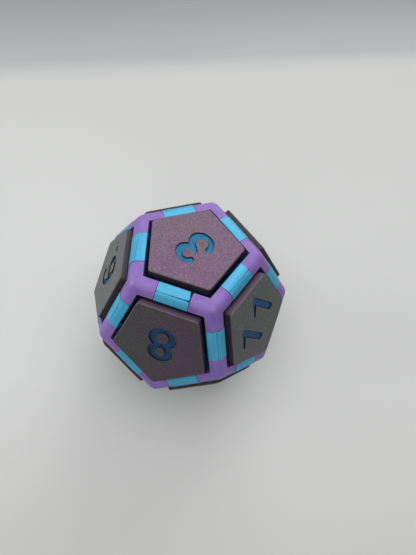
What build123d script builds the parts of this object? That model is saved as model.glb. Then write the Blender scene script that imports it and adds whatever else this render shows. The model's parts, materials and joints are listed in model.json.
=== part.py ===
from build123d import *
import os
from math import atan, ceil, cos, hypot, pi, radians, sin, sqrt

# A twelve-sided push-button die, in millimetres. The origin is the centre of the die, +Z is the normal of
# the face numbered 3, and the die rests on the button of the face opposite.
# Every face is one module: a frame, a keyboard-type switch clipped in the frame's plate, and a pentagonal
# button on the switch's stem. Twenty corner caps, one where three frames meet, hold the frames together.

# ---- driving dimensions ----
CORNER_FACE = 36.0       # centre of the die to the facets of the corner caps
FRAME_FACE = 36.15       # centre of the die to the facets of the frames, a little proud of the caps
EDGE_ROUND = 4.0         # rounding of the body's edges and corners
OPENING = 17.8           # inradius of the pentagonal opening in each frame
RIM_CHAMFER = 0.35       # chamfer around the opening
SEAM_ROUND = 0.3         # rounding of the seam where two frames meet
FRAME_GAP = 0.04         # each frame stops this far short of the mitre plane
FRAME_WALL = 1.6         # thickness of the frame's sloping wall
BUTTON_FACE = 38.07      # centre of the die to the face of a button at rest
BUTTON = 16.4            # inradius of a button
BUTTON_CORNER = 1.2      # rounding of a button's five upright edges
BUTTON_CHAMFER = 0.5     # chamfer around a button's face
BUTTON_TOP = 2.0         # thickness of a button's face
SKIRT_BOTTOM = 34.35     # centre of the die to the lower rim of a button
SKIRT_WALL = 1.6         # thickness of a button's skirt
TRAVEL = 4.0             # how far a button can be pressed
CAP_RADIUS = 8.68        # radius of a corner cap about its corner's axis
CAP_BOTTOM = 38.5        # centre of the die to the underside of a corner cap
CAP_GAP = 0.12           # gap between a corner cap and the frames
PIN_RADIUS = 1.1         # radius of a corner cap's pin
PIN_END = 31.5           # centre of the die to the end of the pin
GUSSET_WIDTH = 1.0       # the ribs under a button's five corners
GUSSET_LENGTH = 7.5
GUSSET_HEIGHT = 1.2
RECESS = 0.65            # depth of the numerals' visible floor below the button's face
INLAY = 0.75             # thickness of a number inlay
DIGIT_HALF = 8.0         # half of a numeral's height
DIGIT_PITCH = 13.2       # distance between the two digits of a number
UPRIGHT_STROKE = 3.0     # width of a numeral's upright strokes
LEVEL_STROKE = 2.1       # width of a numeral's level strokes
STROKE_END = 1.2         # width that a narrowing stroke ends in
BOWL_SHIFT = 0.45        # how far a bowl's inner outline lies to the left, which thins the ends on that side
DOT_RADIUS = 1.05        # the dot that tells 6 from 9
DOT_X = 7.5
PLATE_TOP = 25.3         # centre of the die to the top of the switch plate
PLATE = 1.5              # thickness of the switch plate
SWITCH_HOLE = 14.0       # side of the square hole in the plate

# ---- the switch, measured from the plate's top ----
HOUSING = 13.9           # side of the lower housing, under its flange
FLANGE = 15.6            # side of the flange that rests on the plate
FLANGE_HEIGHT = 1.0
HOUSING_TOP = PLATE_TOP + 6.6
HOUSING_BOTTOM = PLATE_TOP - 5.0
POST_END = HOUSING_BOTTOM - 3.3
POST_RADIUS = 1.95
HOUSING_WALL = 1.0
CLIP_WIDTH = 4.0         # the clips that snap in under the plate
CLIP_DEPTH = 0.4
CLIP_HEIGHT = 0.8
CLIP_SLACK = 0.05
HOOD_X = 14.8            # the upper housing's foot
HOOD_Y = 14.2
HOOD_TAPER = 14.0        # how far the hood's walls lean in, in degrees
HOOD_ROOF = 1.2
TUBE_RADIUS = 1.5        # the tube inside the lower housing that guides the stem
TUBE_DROP = 1.5          # how far the tube's rim lies below the plate's top
BORE_RADIUS = 1.08
BORE_FLOOR = 0.6         # what is left of the post under the bore
STEM_TOP = HOUSING_TOP + 3.6
STEM_X = 5.4             # the stem's body, which slides through the upper housing
STEM_Y = 7.0
STEM_COLLAR_X = 7.4      # the collar that stops the stem under the upper housing
STEM_COLLAR_Y = 9.0
STEM_COLLAR = 2.0        # height of the collar
STEM_SLACK = 0.25
STEM_SHOULDER = HOUSING_TOP + 0.1
COLLAR_TOP = HOUSING_TOP - 1.3
SLEEVE_END = HOUSING_BOTTOM + HOUSING_WALL + TRAVEL + 0.2
SLEEVE_SLACK = 0.45      # from the spring's middle line to the sleeve
POLE_RADIUS = 1.0        # the guide pole, which slides in the tube's bore
POLE_END = HOUSING_BOTTOM + 1.7
CROSS = 4.0              # span of the cross
CROSS_X_ARM = 1.05
CROSS_Y_ARM = 1.25
SOCKET_RADIUS = 2.7      # the button's socket, which takes the cross
SOCKET_SLACK = 0.06
SOCKET_GAP = 0.2         # from the upper housing to the socket's rim at rest
PIN_SLOT_X = 1.5         # the slots in the lower housing's floor for the contacts' pins
PIN_SLOT_Y = 0.7
CONTACT_PINS = [(-3.81, 2.54), (2.54, 5.08)]
CONTACT_PIN = 1.3        # width of a contact's pin
CONTACT_SHEET = 0.5      # thickness of the contacts' sheet metal
CONTACT_BLADE = 1.6      # width of the blade beside the stem
CONTACT_LIFT = 0.1       # from the housing's floor to a contact's foot
SPRING_WIRE = 0.2        # radius of the spring's wire
SPRING_RADIUS = 1.95     # mean radius of the spring
SPRING_PITCH = 1.05
SPRING_TOP = COLLAR_TOP - 0.3
SPRING_SEAT = 0.1        # from the wire to what it presses on

# ---- geometry of the dodecahedron ----
SIDES = 5
STEP = 360 / SIDES
GOLDEN = (1 + sqrt(5)) / 2
MITRE = 1 / GOLDEN                        # inradius of a face for each millimetre of face distance
CORNER = 1 / cos(pi / SIDES)              # circumradius of a pentagon for each millimetre of inradius
TILT = 2 * atan(MITRE)                    # angle between the normals of two faces that share an edge
CORNER_TILT = atan(MITRE * CORNER)        # angle between a face's normal and the axis of its corner
REACH = 60.0                              # well outside the die, for blocks that cut other blocks

# Each face: its numeral, the tilt of its normal from +Z, the direction that the normal leans in, and how many
# fifths of a turn the numeral is turned from pointing straight down the slope. Opposite faces add up to 13.
UPPER = TILT
LOWER = pi - TILT
FACES = [
    (3, 0.0, 54.0, 0),
    (8, UPPER, -90.0, 0),
    (11, UPPER, -18.0, -2),
    (4, UPPER, 54.0, 1),
    (12, UPPER, 126.0, 0),
    (6, UPPER, -162.0, 0),
    (9, LOWER, -126.0, 0),
    (1, LOWER, -54.0, 0),
    (7, LOWER, 18.0, 0),
    (5, LOWER, 90.0, 0),
    (2, LOWER, 162.0, 0),
    (10, pi, 54.0, 0),
]

# The corner caps in four rings of five: name, tilt of the ring's corners, heading of the first corner, and
# whether the corner's odd face (the one on the same heading) lies above it.
CORNER_RINGS = [
    ("corner_caps_top", CORNER_TILT, -54.0, True),
    ("corner_caps_upper", pi - CORNER_TILT - TILT, -54.0, False),
    ("corner_caps_lower", CORNER_TILT + TILT, -90.0, True),
    ("corner_caps_bottom", pi - CORNER_TILT, -90.0, False),
]


def direction(tilt, heading):
    """The unit vector that leans from +Z by tilt (radians) towards a heading (degrees)."""
    lean = sin(tilt)
    return Vector(lean * cos(radians(heading)), lean * sin(radians(heading)), cos(tilt))


def face_plane(tilt, heading, fifths):
    """A face's own axes: Z out along its normal, Y towards the corner that the numeral's top points to."""
    normal = direction(tilt, heading)
    up = direction(tilt + pi / 2, heading)
    if tilt == 0 or tilt > pi / 2:
        up = -up
    up = up.rotate(Axis((0, 0, 0), normal), fifths * STEP)
    return Plane(origin=(0, 0, 0), x_dir=up.cross(normal), z_dir=normal)


def corner_plane(tilt, heading, odd_face_above):
    """A corner's own axes: Z out along its axis, X leaning towards the normal of its odd face."""
    down = direction(tilt + pi / 2, heading)
    return Plane(origin=(0, 0, 0), x_dir=-down if odd_face_above else down, z_dir=direction(tilt, heading))


# ---- plain blocks ----


def pentagon(inradius, height, rounding=0.0):
    """A pentagon with a corner towards +Y, on a level plane."""
    outline = RegularPolygon(inradius, SIDES, major_radius=False, rotation=90)
    if rounding:
        outline = fillet(outline.vertices(), rounding)
    return Pos(0, 0, height) * outline


def prism(inradius, bottom, top, rounding=0.0):
    """An upright pentagonal block."""
    return extrude(pentagon(inradius, bottom, rounding), top - bottom)


def tapered(low, bottom, high, top):
    """A pentagonal block whose inradius goes from low to high."""
    return loft([pentagon(low, bottom).face(), pentagon(high, top).face()], ruled=True)


def mitre_block(inset, bottom, top):
    """A face's wedge of the die between two heights, with its sides moved in by inset."""
    back = inset / cos(TILT / 2)
    return tapered(MITRE * bottom - back, bottom, MITRE * top - back, top)


def box_between(size_x, size_y, bottom, top, x=0.0, y=0.0):
    """A box centred on (x, y) from one height to another."""
    return Pos(x, y, (bottom + top) / 2) * Box(size_x, size_y, top - bottom)


def post_between(radius, bottom, top, x=0.0, y=0.0):
    """An upright cylinder from one height to another."""
    return Pos(x, y, (bottom + top) / 2) * Cylinder(radius, top - bottom)


def opening_tool(bottom, face):
    """The space of a face's opening, with the chamfer around its rim."""
    low = face - RIM_CHAMFER
    return prism(OPENING, bottom, REACH) + tapered(OPENING, low, OPENING + REACH - low, REACH)


def rounded_body(face):
    """The die's whole body as one solid with rounded edges, which shapes the frames and the corner caps."""
    body = Box(2 * REACH, 2 * REACH, 2 * face)
    for _, tilt, heading, _ in FACES[1:-1]:
        normal = direction(tilt, heading)
        body = split(body, bisect_by=Plane(origin=normal * face, z_dir=normal), keep=Keep.BOTTOM)
    return fillet(body.edges(), EDGE_ROUND)


# ---- the body: face frames and corner caps ----


def face_frame():
    """One face's frame: rim, opening, sloping wall and switch plate, cut back for the five corner caps."""
    back = FRAME_WALL / cos(TILT / 2)
    slope_top = (OPENING + back) / MITRE
    frame = mitre_block(FRAME_GAP, PLATE_TOP - PLATE, REACH) & rounded_body(FRAME_FACE)
    frame -= mitre_block(FRAME_WALL, PLATE_TOP, slope_top)
    frame -= opening_tool(slope_top, FRAME_FACE)
    frame -= box_between(SWITCH_HOLE, SWITCH_HOLE, 0, REACH)
    seat = post_between(CAP_RADIUS + CAP_GAP, CAP_BOTTOM - CAP_GAP, REACH)
    seat += post_between(PIN_RADIUS + CAP_GAP, 0, CAP_BOTTOM)
    for n in range(SIDES):
        frame -= Plane(origin=(0, 0, 0), z_dir=direction(CORNER_TILT, 90 + n * STEP)).location * seat
    ridge = (FRAME_FACE - EDGE_ROUND) / cos(TILT / 2) + EDGE_ROUND
    long_edges = [e for e in frame.edges() if e.length > CAP_RADIUS]
    seams = [e for e in long_edges if abs(e.center().length - ridge) < SEAM_ROUND]
    return fillet(seams, SEAM_ROUND)


def corner_cap():
    """One corner cap on its corner's axes: a round cap trimmed by three openings, with a push-in pin."""
    body = corner_plane(*CORNER_RINGS[0][1:]).to_local_coords(rounded_body(CORNER_FACE))
    cap = post_between(CAP_RADIUS, CAP_BOTTOM, REACH) & body
    for third in (0, 120, 240):
        towards_cap = -direction(CORNER_TILT + pi / 2, third)
        normal = direction(CORNER_TILT, third)
        side = Plane(origin=(0, 0, 0), x_dir=towards_cap.cross(normal), z_dir=normal)
        cap -= side.location * opening_tool(0, CORNER_FACE)
    pin = post_between(PIN_RADIUS, PIN_END, CAP_BOTTOM)
    return cap + chamfer(pin.faces().sort_by(Axis.Z)[0].edges(), PIN_RADIUS / 3)


# ---- numerals ----


def bar(x0, y0, x1, y1, width, end_width=None):
    """A straight stroke with round ends, which may narrow towards its second end."""
    start = Pos(x0, y0) * Circle(width / 2)
    stop = Pos(x1, y1) * Circle((end_width or width) / 2)
    return make_hull(start.edges() + stop.edges())


def loop(x, y, reach_x, reach_y, shift=0.0):
    """A closed round stroke about (x, y), whose middle line reaches out by reach_x and reach_y."""
    across, level = UPRIGHT_STROKE / 2, LEVEL_STROKE / 2
    inner = Pos(-shift, 0) * Ellipse(reach_x - across, reach_y - level)
    return Pos(x, y) * (Ellipse(reach_x + across, reach_y + level) - inner)


def bowl(x, y, reach_x, reach_y, start, end):
    """An open round stroke, which runs anticlockwise from start to end (degrees) and has round ends."""
    steps = ceil((end - start) / 30)
    turns = [radians(start + (end - start) * n / steps) for n in range(steps + 1)]
    spokes = [(x + 3 * reach_x * cos(t), y + 3 * reach_y * sin(t)) for t in turns]
    stroke = loop(x, y, reach_x, reach_y, BOWL_SHIFT) & make_face(Polyline((x, y), *spokes, (x, y)))
    for t in (turns[0], turns[-1]):
        thickness = hypot(UPRIGHT_STROKE * cos(t), LEVEL_STROKE * sin(t)) + BOWL_SHIFT * cos(t)
        middle = (x + reach_x * cos(t) - BOWL_SHIFT / 2 * abs(cos(t)), y + reach_y * sin(t))
        stroke += Pos(*middle) * Circle(thickness / 2)
    return stroke


def digit(figure):
    """One digit's outline, centred in its own cell."""
    top = DIGIT_HALF - LEVEL_STROKE / 2
    left = 4.2
    if figure == "0":
        return loop(0, 0, 3.8, top)
    if figure == "1":
        flag = bar(0.8, top, -4.8, 3.3, LEVEL_STROKE, STROKE_END)
        return bar(0.8, 1 - top, 0.8, top, UPRIGHT_STROKE) + flag
    if figure == "2":
        foot = bar(-left, -top, left, -top, LEVEL_STROKE)
        return bowl(-0.3, 3.3, 3.9, 3.65, -35, 165) + bar(2.9, 1.2, -left, -top, LEVEL_STROKE) + foot
    if figure == "3":
        waist = bar(-0.4, 0.5, -2.6, 0.5, LEVEL_STROKE, STROKE_END)
        return bowl(-1.0, 3.65, 3.5, 3.1, -90, 165) + bowl(-0.6, -3.4, 4.0, 3.6, -175, 95) + waist
    if figure == "4":
        cross = bar(-5.0, -3.2, 4.8, -3.2, LEVEL_STROKE)
        return bar(1.9, 1 - top, 1.9, top, UPRIGHT_STROKE) + bar(1.6, top, -5.0, -3.2, LEVEL_STROKE) + cross
    if figure == "5":
        arm = bar(-3.0, top, 3.8, top, LEVEL_STROKE)
        return bowl(-0.6, -2.6, 4.2, 4.3, -160, 140) + bar(-3.4, top, -3.8, 0.2, LEVEL_STROKE) + arm
    if figure == "6":
        return loop(0, -3.4, 3.8, 3.5) + bowl(0.9, 0, 4.7, top, 55, 190)
    if figure == "7":
        return bar(-left, top, left, top, LEVEL_STROKE) + bar(left, top, -1.3, -top, UPRIGHT_STROKE - 0.5)
    if figure == "8":
        return loop(-0.3, 3.2, 3.5, 3.3) + loop(-0.2, -3.7, 4.05, 3.6)
    return Rot(0, 0, 180) * digit("6")


def number_outline(number):
    """A face's whole number, as one sketch. A dot at the foot tells 6 from 9."""
    figures = str(number)
    start = -DIGIT_PITCH * (len(figures) - 1) / 2
    outline = Sketch()
    for n, figure in enumerate(figures):
        outline += Pos(start + n * DIGIT_PITCH, 0) * digit(figure)
    if number in (6, 9):
        outline += Pos(DOT_X, DOT_RADIUS - DIGIT_HALF) * Circle(DOT_RADIUS)
    return outline


# ---- the button ----


def number_inlay(number):
    """A face's number in a second colour, lying in the button's recess."""
    return extrude(Pos(0, 0, BUTTON_FACE - RECESS - INLAY) * number_outline(number), INLAY)


def button_cap(number):
    """A button: chamfered face with the number's recess, skirt, corner gussets and the stem's socket."""
    ceiling = BUTTON_FACE - BUTTON_TOP
    cap = prism(BUTTON, SKIRT_BOTTOM, BUTTON_FACE, BUTTON_CORNER)
    cap = chamfer(cap.faces().sort_by(Axis.Z)[-1].edges(), BUTTON_CHAMFER)
    inner = BUTTON - SKIRT_WALL
    cap -= prism(inner, SKIRT_BOTTOM, ceiling, BUTTON_CORNER / 2)
    middle = inner * CORNER - GUSSET_LENGTH / 2
    gusset = box_between(GUSSET_WIDTH, GUSSET_LENGTH, ceiling - GUSSET_HEIGHT, ceiling, y=middle)
    for n in range(SIDES):
        cap += Rot(0, 0, n * STEP) * gusset
    socket = post_between(SOCKET_RADIUS, HOUSING_TOP + SOCKET_GAP, ceiling)
    cap += socket - cross_bars(HOUSING_TOP, STEM_TOP + SOCKET_SLACK, SOCKET_SLACK)
    recess = Pos(0, 0, BUTTON_FACE - RECESS - INLAY) * number_outline(number)
    return cap - extrude(recess, RECESS + INLAY)


# ---- the switch ----


def cross_bars(bottom, top, slack=0.0):
    """The stem's cross, or with slack the socket that takes it."""
    long = CROSS + 2 * slack
    arm = box_between(long, CROSS_X_ARM + 2 * slack, bottom, top)
    return arm + box_between(CROSS_Y_ARM + 2 * slack, long, bottom, top)


def switch_stem():
    """The slider: cross, body, collar, the sleeve around the spring and the guide pole inside it."""
    stem = box_between(STEM_X, STEM_Y, SLEEVE_END, STEM_SHOULDER)
    stem += box_between(STEM_COLLAR_X, STEM_COLLAR_Y, COLLAR_TOP - STEM_COLLAR, COLLAR_TOP)
    stem -= post_between(SPRING_RADIUS + SLEEVE_SLACK, SLEEVE_END, SPRING_TOP)
    stem += post_between(POLE_RADIUS, POLE_END, COLLAR_TOP)
    return stem + cross_bars(STEM_SHOULDER, STEM_TOP)


def housing_lower():
    """The lower housing: box, flange, clips, the stem's guide tube, the round post and two pin slots."""
    floor = HOUSING_BOTTOM + HOUSING_WALL
    rim = PLATE_TOP + FLANGE_HEIGHT
    shell = box_between(HOUSING, HOUSING, HOUSING_BOTTOM, PLATE_TOP)
    shell += box_between(FLANGE, FLANGE, PLATE_TOP, rim)
    inside = HOUSING - 2 * HOUSING_WALL
    shell -= box_between(inside, inside, floor, rim)
    shell += post_between(TUBE_RADIUS, floor, PLATE_TOP - TUBE_DROP)
    shell += post_between(POST_RADIUS, POST_END, HOUSING_BOTTOM)
    shell -= post_between(BORE_RADIUS, POST_END + BORE_FLOOR, PLATE_TOP)
    clip_top = PLATE_TOP - PLATE - CLIP_SLACK
    for side in (-1, 1):
        middle = side * (HOUSING + CLIP_DEPTH) / 2
        shell += box_between(CLIP_WIDTH, CLIP_DEPTH, clip_top - CLIP_HEIGHT, clip_top, y=middle)
    for x, y in CONTACT_PINS:
        shell -= box_between(PIN_SLOT_X, PIN_SLOT_Y, HOUSING_BOTTOM, floor, x=x, y=y)
    return shell


def housing_upper():
    """The upper housing: a tapered hood with the hole that the stem slides through."""
    rim = PLATE_TOP + FLANGE_HEIGHT
    height = HOUSING_TOP - rim
    hood = extrude(Pos(0, 0, rim) * Rectangle(HOOD_X, HOOD_Y), height, taper=HOOD_TAPER)
    inside = Rectangle(HOOD_X - 2 * HOUSING_WALL, HOOD_Y - 2 * HOUSING_WALL)
    hollow = extrude(Pos(0, 0, rim) * inside, height - HOOD_ROOF, taper=HOOD_TAPER)
    hole = box_between(STEM_X + 2 * STEM_SLACK, STEM_Y + 2 * STEM_SLACK, rim, HOUSING_TOP)
    return hood - hollow - hole


def contact(x, y, blade_x, height):
    """A contact: a flat pin through the housing's floor and a blade that stands beside the stem."""
    floor = HOUSING_BOTTOM + HOUSING_WALL
    low = floor + CONTACT_LIFT
    reach = abs(blade_x - x) + CONTACT_SHEET
    pin = box_between(CONTACT_PIN, CONTACT_SHEET, POST_END, floor + height, x=x, y=y)
    foot = box_between(reach, CONTACT_SHEET, low, low + CONTACT_SHEET, x=(blade_x + x) / 2, y=y)
    return pin + foot + box_between(CONTACT_SHEET, CONTACT_BLADE, low, floor + height, x=blade_x, y=y)


def fixed_contact():
    """The short contact, which the moving one would touch."""
    return contact(*CONTACT_PINS[1], 1.2, 2.4)


def moving_contact():
    """The taller contact beside the stem's collar."""
    return contact(*CONTACT_PINS[0], -4.7, 3.2)


def spring():
    """The coil spring between the lower housing's floor and the stem, as it is with the button at rest."""
    bottom = HOUSING_BOTTOM + HOUSING_WALL + SPRING_WIRE + SPRING_SEAT
    top = SPRING_TOP - SPRING_WIRE - SPRING_SEAT
    coil = Helix(SPRING_PITCH, top - bottom, SPRING_RADIUS, center=(0, 0, bottom))
    wire = Plane(origin=coil @ 0, z_dir=coil % 0) * Circle(SPRING_WIRE)
    return sweep(wire, path=coil, is_frenet=True)


# ---- assembly ----


def save(name, solids):
    """Writes one node, made of the given solids."""
    export_step(Compound(children=solids) if len(solids) > 1 else solids[0], f"parts/{name}.step")


def on_every_face(piece):
    """The twelve copies of a piece that is drawn on a face's own axes."""
    return [face_plane(tilt, heading, fifths).location * piece for _, tilt, heading, fifths in FACES]


def main():
    os.makedirs("parts", exist_ok=True)
    frames, stems = on_every_face(face_frame()), on_every_face(switch_stem())
    for (number, tilt, heading, fifths), frame, stem in zip(FACES, frames, stems):
        place = face_plane(tilt, heading, fifths).location
        save(f"frame_{number:02d}", frame.solids())
        save(f"button_{number:02d}", (place * button_cap(number)).solids())
        save(f"number_{number:02d}", (place * number_inlay(number)).solids())
        save(f"stem_{number:02d}", stem.solids())
    cap = corner_cap()
    for name, tilt, heading, above in CORNER_RINGS:
        places = [corner_plane(tilt, heading + n * STEP, above).location for n in range(SIDES)]
        save(name, [solid for place in places for solid in (place * cap).solids()])
    switch_pieces = {
        "switch_housings_lower": housing_lower(),
        "switch_housings_upper": housing_upper(),
        "switch_fixed_contacts": fixed_contact(),
        "switch_moving_contacts": moving_contact(),
        "switch_springs": spring(),
    }
    for name, piece in switch_pieces.items():
        save(name, [solid for copy in on_every_face(piece) for solid in copy.solids()])


main()
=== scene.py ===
import json
from math import asin, atan, ceil, cos, exp, pi, radians, sin, sqrt

import bmesh
import bpy
import numpy as np
from mathutils import Matrix, Vector
from mathutils.geometry import delaunay_2d_cdt


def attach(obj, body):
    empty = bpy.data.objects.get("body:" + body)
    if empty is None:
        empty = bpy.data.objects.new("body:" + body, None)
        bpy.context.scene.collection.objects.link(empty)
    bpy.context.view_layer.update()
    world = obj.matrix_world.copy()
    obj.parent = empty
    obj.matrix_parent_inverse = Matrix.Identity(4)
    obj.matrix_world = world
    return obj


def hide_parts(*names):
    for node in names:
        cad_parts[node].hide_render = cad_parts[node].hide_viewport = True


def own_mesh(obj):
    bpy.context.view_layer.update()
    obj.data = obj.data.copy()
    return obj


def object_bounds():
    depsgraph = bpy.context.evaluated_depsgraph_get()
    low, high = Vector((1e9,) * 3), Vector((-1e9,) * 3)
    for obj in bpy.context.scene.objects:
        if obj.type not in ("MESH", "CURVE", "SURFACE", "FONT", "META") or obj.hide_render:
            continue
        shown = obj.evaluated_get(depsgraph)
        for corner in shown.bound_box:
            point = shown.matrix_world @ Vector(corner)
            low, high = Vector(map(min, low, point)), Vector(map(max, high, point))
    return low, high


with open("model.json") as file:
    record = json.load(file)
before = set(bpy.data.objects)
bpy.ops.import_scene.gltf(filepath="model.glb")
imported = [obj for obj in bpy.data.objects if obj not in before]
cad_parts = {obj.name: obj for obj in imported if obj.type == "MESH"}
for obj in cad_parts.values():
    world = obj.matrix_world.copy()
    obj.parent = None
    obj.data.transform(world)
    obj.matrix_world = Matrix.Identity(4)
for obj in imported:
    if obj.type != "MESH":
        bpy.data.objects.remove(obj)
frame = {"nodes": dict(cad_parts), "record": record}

# A twelve-sided push-button die printed in four colours. The new pieces are worked out in millimetres on the
# axes of their own face or corner, and then taken to the row's frame in metres.

cad_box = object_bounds()
MM = 0.001

# ---- sizes of the CAD model, in millimetres; heights are distances from the die's centre ----
CORNER_FACE = 36.0        # the caps' facets
FRAME_FACE = 36.15        # the frames' facets
EDGE_ROUND = 4.0          # radius of the rounded edges of the body
OPENING = 17.8            # inradius of the opening that a button moves in
OPENING_TOP = 34.4        # top of the opening's plain wall
FRAME_WALL = 1.6          # thickness of a frame's sloping wall
FRAME_FIT = 0.05          # what a frame stands back from its neighbours
SKIN_BOTTOM = 33.8        # bottom of the frame's outer strip
CAP_RADIUS = 8.68
CAP_BOTTOM = 38.5
CAP_GAP = 0.12            # air round a cap in its seat
RIM = 0.35                # what a cap's top edge stands back from its wall beside an opening
PIN_RADIUS = 1.1
PIN_END = 31.5
BUTTON_FACE = 38.07
BUTTON = 16.4             # inradius of a button
BUTTON_CORNER = 1.2
BUTTON_TOP = 2.0          # thickness of a button's top
SKIRT_BOTTOM = 34.35
SKIRT_WALL = 1.6
NUMBER_FACE = 37.42
NUMBER_BOTTOM = 36.67
PLATE_TOP = 25.3
PLATE_BOTTOM = 23.8
SWITCH_HOLE = 14.0
SOCKET_RADIUS = 2.7
SOCKET_END = 32.1

# ---- sizes that only the visible pieces have, in millimetres ----
BUTTON_ROOM = 0.5         # air left beside a pressed button inside the body
FACE_CHAMFER = 0.32          # width of the chamfer round a button's face, where a highlight is painted
CAP_EDGE = 0.16           # what the round end of a cap's top stands back from its wall

# ---- geometry of the dodecahedron ----
FIFTH, TENTH = radians(72), radians(36)
CORNERS = [radians(90) + FIFTH * k for k in range(5)]
GOLDEN = (1 + sqrt(5)) / 2
MITRE = 1 / GOLDEN        # inradius of a face at a height of 1
TILT = 2 * atan(MITRE)    # between neighbouring normals
HALF = TILT / 2
SIN, COS = sin(HALF), cos(HALF)
CORNER_TILT = atan(MITRE / cos(TENTH))
SLOPE_TOP = (OPENING + FRAME_WALL / COS) / MITRE

# numeral, tilt of the normal from +Z, heading that it leans to, fifths of a turn of the numeral
FACES = [
    (3, 0.0, 54, 0),
    (8, TILT, -90, 0),
    (11, TILT, -18, -2),
    (4, TILT, 54, 1),
    (12, TILT, 126, 0),
    (6, TILT, -162, 0),
    (9, pi - TILT, -126, 0),
    (1, pi - TILT, -54, 0),
    (7, pi - TILT, 18, 0),
    (5, pi - TILT, 90, 0),
    (2, pi - TILT, 162, 0),
    (10, pi, 54, 0),
]
# node, tilt of the ring's corners, heading of the first, whether the odd face is above the corner
RINGS = [
    ("corner_caps_top", CORNER_TILT, -54, True),
    ("corner_caps_upper", pi - CORNER_TILT - TILT, -54, False),
    ("corner_caps_lower", CORNER_TILT + TILT, -90, True),
    ("corner_caps_bottom", pi - CORNER_TILT, -90, False),
]


def direction(tilt, heading):
    h = radians(heading)
    return Vector((sin(tilt) * cos(h), sin(tilt) * sin(h), cos(tilt)))


def axes(x, z):
    """The turn that takes local axes to the row's frame, with the scale from millimetres to metres."""
    y = z.cross(x)
    return Matrix((x, y, z)).transposed().to_4x4() @ Matrix.Scale(MM, 4)


def face_axes(tilt, heading, fifths):
    normal = direction(tilt, heading)
    up = direction(tilt + pi / 2, heading)
    if tilt == 0 or tilt > pi / 2:
        up = -up
    up = Matrix.Rotation(FIFTH * fifths, 3, normal) @ up
    return axes(up.cross(normal), normal)


def corner_axes(tilt, heading, odd_face_above):
    down = direction(tilt + pi / 2, heading)
    return axes(-down if odd_face_above else down, direction(tilt, heading))


NORMALS = {number: direction(tilt, heading) for number, tilt, heading, _ in FACES}
BODIES = {node: body for body, nodes in frame["record"]["behaviour"]["bodies"].items() for node in nodes}
SLOTS = {part["node"]: part["material_slot"] for part in frame["record"]["subparts"]}


# ---- mesh building ----
class Sheet:
    """Collects points, faces and one vector of texture coordinates for each point, all in millimetres.

    The third coordinate says where on the piece a point is, as the comment over each kind of piece says."""

    def __init__(self):
        self.points = []
        self.flow = []
        self.faces = []

    def add(self, points, flow):
        start = len(self.points)
        self.points += [tuple(p) for p in points]
        self.flow += [tuple(f) for f in flow]
        return start

    def grid(self, points, flow, close=False):
        """Quads over rows of points; the rows may close on themselves."""
        rows, columns = len(points), len(points[0])
        start = self.add([p for row in points for p in row], [f for row in flow for f in row])
        for i in range(rows - 1):
            for j in range(columns if close else columns - 1):
                k = (j + 1) % columns
                a, b = start + i * columns, start + (i + 1) * columns
                self.faces.append((a + j, b + j, b + k, a + k))

    def fill(self, loops, height, flow, extra=(), flip=False):
        """Triangles between closed loops of 2-D points, by the even-odd rule; height gives each point."""
        flat, edges = [], []
        for loop in loops:
            first = len(flat)
            flat += [Vector(p[:2]) for p in loop]
            edges += [(first + n, first + (n + 1) % len(loop)) for n in range(len(loop))]
        flat += [Vector(p[:2]) for p in extra]
        made, _, triangles, *_ = delaunay_2d_cdt(flat, edges, [], 0, 1e-5)
        made = np.array([tuple(v) for v in made])
        triangles = np.array([t for t in triangles if len(t) == 3])
        middle = made[triangles].mean(1)
        start = self.add([height(x, y) for x, y in made], [flow(x, y) for x, y in made])
        for t in triangles[within(middle, *loops)]:
            a, b, c = (made[n] for n in t)
            turn = (b[0] - a[0]) * (c[1] - a[1]) - (b[1] - a[1]) * (c[0] - a[0])
            order = t if (turn > 0) != flip else t[::-1]
            self.faces.append(tuple(int(start + n) for n in order))

    def mesh(self, name, matrix, sharp=35):
        """The finished mesh in the row's frame, smooth except at sharp edges."""
        mesh = bpy.data.meshes.new(name)
        mesh.from_pydata([matrix @ Vector(p) for p in self.points], [], self.faces)
        flow = mesh.attributes.new("flow", "FLOAT_VECTOR", "POINT")
        flow.data.foreach_set("vector", np.array(self.flow, np.float32).ravel())
        bm = bmesh.new()
        bm.from_mesh(mesh)
        bmesh.ops.remove_doubles(bm, verts=bm.verts, dist=2e-7)
        bmesh.ops.delete(bm, geom=[v for v in bm.verts if not v.link_faces], context="VERTS")
        bm.to_mesh(mesh)
        bm.free()
        mesh.shade_smooth()
        mesh.set_sharp_from_angle(angle=radians(sharp))
        return mesh


def circle(radius, step):
    """Points of a circle, a number of degrees apart."""
    return [(radius * cos(radians(a)), radius * sin(radians(a))) for a in range(0, 360, step)]


def within(points, *loops):
    """Which points lie inside closed loops, by the even-odd rule."""
    x, y = points[:, 0:1], points[:, 1:2]
    crossings = 0
    for loop in loops:
        x0, y0 = np.array([p[:2] for p in loop]).T
        x1, y1 = np.roll(x0, -1), np.roll(y0, -1)
        rise = np.where(y1 == y0, 1e-12, y1 - y0)
        crosses = ((y0 > y) != (y1 > y)) & (x < (x1 - x0) * (y - y0) / rise + x0)
        crossings = crossings + crosses.sum(1)
    return crossings % 2 == 1


def nearest(points, others):
    """How far each point is from the closest of the others."""
    return np.sqrt(((np.array(points)[:, None] - others[None]) ** 2).sum(2)).min(1)


def staggered(low, high, step):
    """Rows of points between two corners, every second row moved by half a step."""
    columns, rows = (np.arange(a, b, step) for a, b in zip(low, high))
    return np.array([(x + (step / 2 if n % 2 else 0), y) for n, y in enumerate(rows) for x in columns])


def piece(name, mesh, node):
    """Shows a finished mesh in place of a CAD node, or of part of one, with the node's body and finish."""
    mesh.materials.append(MATERIALS[SLOTS[node]])
    obj = bpy.data.objects.new(name, mesh)
    bpy.context.scene.collection.objects.link(obj)
    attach(obj, BODIES[node])
    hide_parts(node)
    return obj


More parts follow.
